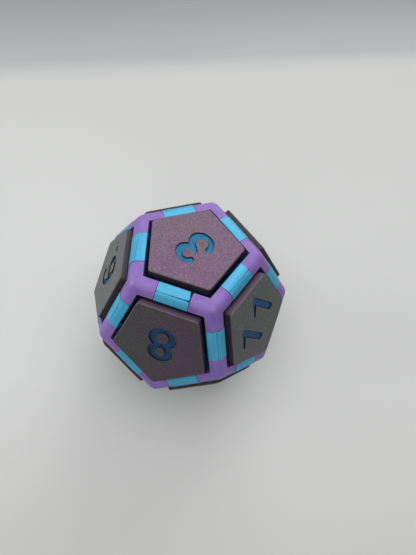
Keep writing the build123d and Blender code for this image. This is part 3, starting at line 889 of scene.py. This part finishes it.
def panel_print():
    """Dark filament that shifts from grey-green to mauve, the mauve a painted sheen set per button, with a
    textured print bed's grain on its face.
    """
    p = Paint("panel_print")
    vector, x, y, kind = p.flow()
    mauve, drift, shade, seed = (p.tone(name) for name in ("mauve", "drift", "shade", "seed"))
    apart = p.add("CombineXYZ", {0: seed, 1: seed, 2: seed}).outputs[0]
    place = p.vector("ADD", p.vector("MULTIPLY", vector, (1, 1, 0)), apart)
    grain = p.noise(place, 1.25, 6.0, 0.82)
    fine = p.noise(place, 6.0, 3.0, 0.65, shift=(3, 1, 4))
    cloud = p.noise(place, 0.09, 3.0, 0.5)
    streak = p.noise(place, 1.0, 3.0, 0.6, (1.5, 0.08, 1.0))
    spots = p.add("TexVoronoi", {"Vector": place, "Scale": 1.35, "Randomness": 1.0}, feature="F1")
    spark = p.ramp(spots.outputs["Distance"], 0.1, 0.32, 1.0, 0.0)
    chosen = p.ramp(p.add("SeparateColor", {0: spots.outputs["Color"]}).outputs[0], 0.62, 0.8)
    spark = p.math("MULTIPLY", spark, chosen)
    grey = p.mix(p.ramp(grain, 0.34, 0.66), GREY_DEEP, GREY_LIGHT)
    pink = p.mix(p.ramp(grain, 0.34, 0.66), PINK_SHEEN_DEEP, PINK_SHEEN_LIGHT)
    # Painted sheen: how much pink shows is set per button and drifts along its X, for the pinkish reflection
    # on faces turned to the light.
    share = p.math("ADD", p.math("MULTIPLY", x, drift), p.ramp(cloud, 0.3, 0.7, -0.2, 0.2))
    share = p.math("ADD", mauve, share, clamp=True)
    color = p.mix(share, grey, pink)
    color = p.mix(p.ramp(fine, 0.5, 0.75, 0.0, 0.5), color, GREY_DEEP)
    color = p.mix(p.ramp(streak, 0.45, 0.7, 0.0, 0.3), color, GREY_STREAK)
    color = p.mix(p.math("MULTIPLY", spark, p.ramp(share, 0.0, 1.0, 0.15, 0.7)), color, SPARKLE)
    # Painted shade, on top of some tone that differs at random: the buttons turned from the light are set
    # darker.
    color = p.mix(shade, BLACK, color)
    rings = p.math("MAXIMUM", swirl(p, x, y, "ring_1"), swirl(p, x, y, "ring_2"))
    color = p.mix(p.math("MULTIPLY", rings, p.ramp(kind, 0.5, 0.2, 0.0, 0.6)), color, BLACK)
    # Painted shade: the sides are much darker than the face.
    side = p.ramp(kind, 1.6, 2.4)
    wall = p.mix(p.ramp(p.noise(vector, 1.0, 3.0, 0.6, (0.4, 0.4, 3.0)), 0.35, 0.65), SIDE_SHADE_DEEP, SIDE_SHADE_LIGHT)
    # Painted light: the side next to the 3, which faces up, shows a lit mauve.
    towards = p.math("ADD", p.math("MULTIPLY", x, p.tone("lit_x")), p.math("MULTIPLY", y, p.tone("lit_y")))
    wall = p.mix(p.math("MULTIPLY", p.ramp(towards, 14.2, 14.5), p.tone("lit")), wall, SIDE_LIT)
    # Painted shade: darker still towards the sides' foot in the gap.
    wall = p.mix(p.ramp(kind, 3.0, 4.0), wall, SIDE_SHADE_DEEP)
    color = p.mix(side, color, wall)
    # Painted highlight: the chamfer round the face is lighter, where it catches the light, ragged with the
    # grain.
    edge = p.math("SUBTRACT", p.ramp(kind, 0.15, 0.9), p.ramp(kind, 1.1, 2.0))
    color = p.mix(p.math("MULTIPLY", edge, p.ramp(grain, 0.35, 0.65, 0.15, 0.75)), color, RIM_HIGHLIGHT)
    # Painted shade on the walls of the numeral's recess.
    color = p.mix(p.ramp(kind, -0.1, -0.9), color, RECESS_SHADE)
    height = p.math("ADD", grain, p.math("MULTIPLY", fine, 0.5))
    rough = p.ramp(grain, 0.3, 0.7, 0.5, 0.68)
    return p.finish(color, rough, p.bump(height, 0.00012, 0.6), Specular_IOR_Level=0.4)


def number_print():
    """Blue filament at the numerals' floor, laid in lines that follow the outline; how teal and how light it
    shows are painted sheen and shade.
    """
    p = Paint("number_print")
    vector, _, _, d = p.flow()
    # Painted sheen: how teal the blue shows is set per numeral, tealest on the 3 that faces the light.
    teal = p.tone("teal")
    line = p.line(d, 0.48)
    blot = p.noise(vector, 1.3, 4.0, 0.65)
    across = p.noise(vector, 1.0, 3.0, 0.6, (2.4, 0.5, 1.0))
    dark = p.mix(teal, BLUE_DEEP, TEAL_DEEP)
    light = p.mix(teal, BLUE_LIGHT, TEAL_LIGHT)
    color = p.mix(p.ramp(line, -0.7, 0.5), dark, light)
    color = p.mix(p.ramp(blot, 0.42, 0.68, 0.0, 0.8), color, dark)
    color = p.mix(p.ramp(across, 0.55, 0.75, 0.0, 0.5), color, light)
    # Painted shade: the numeral's floor darkens towards the recess's walls.
    color = p.mix(p.ramp(d, 0.5, 0.0, 0.0, 0.8), color, RECESS_SHADE)
    # Painted shade, with some tone that differs at random: numerals on faces turned from the light are set
    # darker.
    color = p.mix(p.tone("light"), BLACK, color)
    height = p.math("ADD", p.math("MULTIPLY", line, 0.6), blot)
    rough = p.ramp(blot, 0.3, 0.7, 0.5, 0.65)
    return p.finish(color, rough, p.bump(height, 0.00006, 0.7), Specular_IOR_Level=0.25)


def moulded(name, low, high, rough):
    """Moulded switch plastic: a faint mottle and a fine satin grain."""
    p = Paint(name)
    place = p.add("TexCoord").outputs["Object"]
    mottle = p.noise(place, 900.0, 3.0, 0.6)
    grain = p.noise(place, 6000.0, 2.0, 0.6)
    color = p.mix(p.ramp(mottle, 0.3, 0.7), low, high)
    return p.finish(color, p.ramp(mottle, 0.3, 0.7, rough, rough + 0.12), p.bump(grain, 0.00001, 0.4))


def metal(name, low, high, rough):
    """Stamped or drawn metal: fine draw lines and slight tarnish."""
    p = Paint(name)
    place = p.add("TexCoord").outputs["Object"]
    lines = p.noise(place, 1.0, 3.0, 0.6, (9000, 9000, 700))
    tarnish = p.noise(place, 1200.0, 3.0, 0.6)
    color = p.mix(p.ramp(tarnish, 0.35, 0.7), high, low)
    rough = p.ramp(lines, 0.3, 0.7, rough, rough + 0.15)
    return p.finish(color, rough, p.bump(lines, 0.000005, 0.4), Metallic=1.0)


# ---- the stage's materials, in metres ----
# The pale board ends behind the die along a slightly slanting line, and a greyer surface lies beyond it: the
# turn of that line, its distance from the die, its normal and the colour that both surfaces have there.
EDGE_TURN, EDGE_AT = radians(30.6), 0.2465
EDGE_NORMAL, EDGE_BLEND = (-sin(EDGE_TURN), cos(EDGE_TURN), 0.0), srgb(163, 164, 164)
# Each surface's third colour is painted shade, where less light reaches it.
BOARD_LOW, BOARD_HIGH, BOARD_NEAR_SHADE = srgb(174, 175, 174), srgb(178, 179, 178), srgb(159, 159, 157)
BEYOND_LOW, BEYOND_HIGH, BEYOND_FAR_SHADE = srgb(147, 148, 149), srgb(150, 151, 152), srgb(118, 119, 121)


def floor_paper(name, low, high, far_shade, towards, start, stop, soft):
    """Pale matt board, barely cloudy, darkening towards one side as painted shade and changing, over a soft
    width, at the line.
    """
    p = Paint(name)
    place = p.add("TexCoord").outputs["Object"]
    cloud = p.noise(place, 6.0, 3.0, 0.5)
    grain = p.noise(place, 900.0, 3.0, 0.6)
    color = p.mix(p.ramp(cloud, 0.3, 0.7), low, high)
    across = p.vector("DOT_PRODUCT", place, towards)
    # Painted shade: the board darkens towards the camera and towards its back line, and the surface beyond
    # darkens further back, as the light falls off.
    color = p.mix(p.ramp(across, start, stop), color, far_shade)
    color = p.mix(p.ramp(across, -0.06, -0.26, 0.0, 0.4), color, far_shade)
    away = p.vector("DOT_PRODUCT", place, EDGE_NORMAL)
    color = p.mix(p.ramp(away, EDGE_AT + soft, EDGE_AT), color, EDGE_BLEND)
    return p.finish(color, 0.85, p.bump(grain, 0.00005, 0.3), Specular_IOR_Level=0.2)


# ---- the pieces ----
MATERIALS = {
    "frame_print": cyan_print(),
    "corner_print": purple_print(),
    "button_print": panel_print(),
    "number_print": number_print(),
    "switch_stem": moulded("switch_stem_plastic", srgb(20, 96, 150), srgb(34, 120, 176), 0.35),
    "switch_base": moulded("switch_base_plastic", srgb(22, 22, 24), srgb(34, 34, 37), 0.45),
    "switch_hood": moulded("switch_hood_plastic", srgb(34, 34, 38), srgb(50, 50, 55), 0.4),
    "contact_metal": metal("contact_copper", srgb(150, 104, 56), srgb(214, 160, 96), 0.25),
    "spring_steel": metal("spring_wire", srgb(120, 120, 118), srgb(190, 190, 186), 0.2),
}

# Each button: how mauve its filament shows, a painted sheen set per button; how much that changes with each
# millimetre along its own X; how light it is, partly painted shade on the buttons turned from the light; how
# mauve its side next to the 3 is, painted light on that side; how teal its numeral is, a painted sheen like
# the mauve; and how light its numeral is, partly painted shade.
BUTTON_LOOKS = {
    3: (0.94, -0.006, 1.0, 0.0, 1.0, 1.0),
    8: (0.46, -0.02, 0.43, 1.0, 0.0, 0.6),
    11: (0.06, -0.01, 0.82, 1.0, 0.0, 1.0),
    6: (0.05, 0.0, 1.0, 0.2, 0.05, 0.7),
    4: (0.75, 0.01, 0.8, 0.1, 0.6, 0.8),
    12: (0.45, -0.02, 0.8, 0.1, 0.4, 0.8),
    9: (0.3, 0.015, 0.7, 0.0, 0.1, 0.7),
    1: (0.1, 0.0, 0.7, 0.0, 0.0, 0.7),
    7: (0.6, 0.02, 0.9, 0.0, 0.3, 0.8),
    5: (0.2, -0.01, 0.8, 0.0, 0.2, 0.8),
    2: (0.5, 0.02, 0.9, 0.0, 0.5, 0.8),
    10: (0.8, 0.0, 0.9, 0.0, 0.7, 0.8),
}
# How each button sits on its switch: turn in degrees; shift across and up, and rise, in millimetres; and a
# neighbour, with how many degrees the button leans so that its side next to that neighbour stands higher.
SEATS = {
    3: (0.7, 0.10, -0.12, 0.0, 8, 0.0),
    8: (-0.3, 0.0, 0.0, 0.1, 3, 0.0),
    11: (0.35, -0.05, 0.0, 0.3, 3, 0.0),
    6: (0.5, 0.0, 0.05, 0.25, 3, 0.0),
    4: (0.4, 0.05, 0.1, 0.25, 3, 0.8),
    12: (-0.6, -0.1, 0.05, 0.0, 3, 0.0),
    9: (0.3, 0.08, 0.0, 0.35, 8, 1.6),
    1: (-0.4, 0.0, -0.08, 0.25, 8, 0.5),
    7: (0.6, 0.06, 0.06, 0.1, 11, 0.3),
    5: (-0.2, -0.08, 0.04, 0.0, 12, 0.5),
    2: (0.2, 0.04, -0.1, 0.1, 6, 0.4),
    10: (0.0, 0.0, 0.0, 0.0, 1, 0.0),
}
# Middles of the open bowls of the 3, where the face is printed in small rings as it is inside closed loops.
BOWLS = {3: [(-1.08, -3.21), (-1.0, 3.55)]}
NOWHERE = (99.0, 99.0)

for number, tilt, heading, fifths in FACES:
    code = f"{number:02d}"
    place = face_axes(tilt, heading, fifths)
    seat = seated(place, number)
    loops = number_loops(number, place)
    piece(f"frame_print_{code}", frame_mesh(f"frame_print_{code}", number, place), f"frame_{code}")
    button = piece(
        f"button_print_{code}", button_mesh(f"button_print_{code}", number, seat, loops), f"button_{code}"
    )
    tones = dict(zip(("mauve", "drift", "shade", "lit"), BUTTON_LOOKS[number]), seed=7.0 * number)
    tones["lit_x"], tones["lit_y"], _ = (place.to_3x3().inverted() @ NORMALS[3]) * MM
    (tones["ring_1x"], tones["ring_1y"]), (tones["ring_2x"], tones["ring_2y"]) = islands(number, loops)
    for tone, value in tones.items():
        button[tone] = float(value)
    inlay = piece(f"number_print_{code}", number_mesh(f"number_print_{code}", seat, loops), f"number_{code}")
    # Each numeral's teal is painted sheen, and its lightness partly painted shade.
    inlay["teal"], inlay["light"] = BUTTON_LOOKS[number][4:]

cap = cap_sheet()
for node, tilt, heading, above in RINGS:
    for n in range(5):
        place = corner_axes(tilt, heading + 72 * n, above)
        piece(f"{node}_{n + 1}", cap.mesh(f"{node}_{n + 1}", place), node)


def spring_meshes(coils):
    """Each switch's spring, cut out of the mesh that holds all twelve, with its lowest and highest point."""
    places = np.array([vertex.co for vertex in coils.vertices])
    faces = [tuple(face.vertices) for face in coils.polygons]
    distances = places @ np.array([NORMALS[number] for number in NORMALS]).T
    owner = distances.argmax(1)
    for k, number in enumerate(NORMALS):
        mine = np.flatnonzero(owner == k)
        index = dict(zip(mine.tolist(), range(len(mine))))
        mesh = bpy.data.meshes.new(f"spring_{number:02d}")
        own = [[index[v] for v in face] for face in faces if face[0] in index]
        mesh.from_pydata(places[mine].tolist(), [], own)
        mesh.shade_smooth()
        yield number, mesh, distances[mine, k].min(), distances[mine, k].max()


# A spring stands on its housing's floor and, in the real switch, shortens as its button goes in; here each is
# only shown as its own piece with its own copy of the mesh.
for number, mesh, low, high in spring_meshes(frame["nodes"]["switch_springs"].data):
    spring = piece(f"spring_{number:02d}", mesh, "switch_springs")
    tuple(NORMALS[number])
    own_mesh(spring)

for name, obj in frame["nodes"].items():
    if not obj.hide_render:
        obj.data.materials.clear()
        obj.data.materials.append(MATERIALS[SLOTS[name]])

# ---- the stage ----
FLOOR_Z = cad_box[0].z - 0.00002
SIDE, NEAR, FAR = 3.0, -3.0, 4.0
edge = [(x, (EDGE_AT + x * sin(EDGE_TURN)) / cos(EDGE_TURN)) for x in (-SIDE, SIDE)]


def sheet_on_floor(name, corners, z, material):
    mesh = bpy.data.meshes.new(name)
    mesh.from_pydata([(x, y, z) for x, y in corners], [], [(0, 1, 2, 3)])
    mesh.materials.append(material)
    obj = bpy.data.objects.new(name, mesh)
    bpy.context.scene.collection.objects.link(obj)


board = floor_paper("floor_board", BOARD_LOW, BOARD_HIGH, BOARD_NEAR_SHADE, (0.31, -0.95, 0), 0.03, 0.15, -0.014)
beyond = floor_paper("beyond_board", BEYOND_LOW, BEYOND_HIGH, BEYOND_FAR_SHADE, EDGE_NORMAL, 0.27, 0.4, 0.018)
sheet_on_floor("floor", [(-SIDE, NEAR), (SIDE, NEAR), *edge[::-1]], FLOOR_Z, board)
sheet_on_floor("beyond", [*edge, (SIDE, FAR), (-SIDE, FAR)], FLOOR_Z, beyond)


def area_light(name, place, aim, size, power, color):
    light = bpy.data.lights.new(name, "AREA")
    light.shape, light.size, light.energy, light.color = "DISK", size, power, color
    obj = bpy.data.objects.new(name, light)
    bpy.context.scene.collection.objects.link(obj)
    obj.location = place
    obj.rotation_mode = "QUATERNION"
    obj.rotation_quaternion = (Vector(aim) - Vector(place)).to_track_quat("-Z", "Y")


CENTRE, WHITE = (0, 0, 0), (1.0, 1.0, 1.0)
area_light("ceiling", (0, 0.1, 1.2), CENTRE, 2.5, 30.7, WHITE)
area_light("front_fill", (0, -0.8, 0.9), CENTRE, 1.0, 4.0, WHITE)
area_light("left_fill", (-1.1, -0.3, 0.3), CENTRE, 0.8, 6.3, WHITE)
area_light("back_window", (0, 1.2, 0.6), CENTRE, 1.0, 8.3, WHITE)

world = bpy.data.worlds.new("soft_room")
bpy.context.scene.world = world
world.use_nodes = True
world.node_tree.nodes["Background"].inputs[0].default_value = (0.93, 0.97, 1.0, 1)
world.node_tree.nodes["Background"].inputs[1].default_value = 0.02

# The photograph's camera, fitted to the openings' corners: its place in metres and its three directions.
camera = bpy.data.objects.new("camera", bpy.data.cameras.new("camera"))
bpy.context.scene.collection.objects.link(camera)
camera.data.lens, camera.data.sensor_width = 25.654, 36
camera.data.clip_start, camera.data.clip_end = 0.005, 20
right = Vector((0.945602, 0.312918, 0.088995))
upward = Vector((-0.311376, 0.791278, 0.526236))
ahead = Vector((-0.094249, 0.525321, -0.845668))
turn = Matrix((right, upward, -ahead)).transposed().to_4x4()
camera.matrix_world = Matrix.Translation((0.0232931, -0.0870757, 0.1601616)) @ turn
bpy.context.scene.camera = camera
bpy.context.scene.view_settings.view_transform = "Standard"
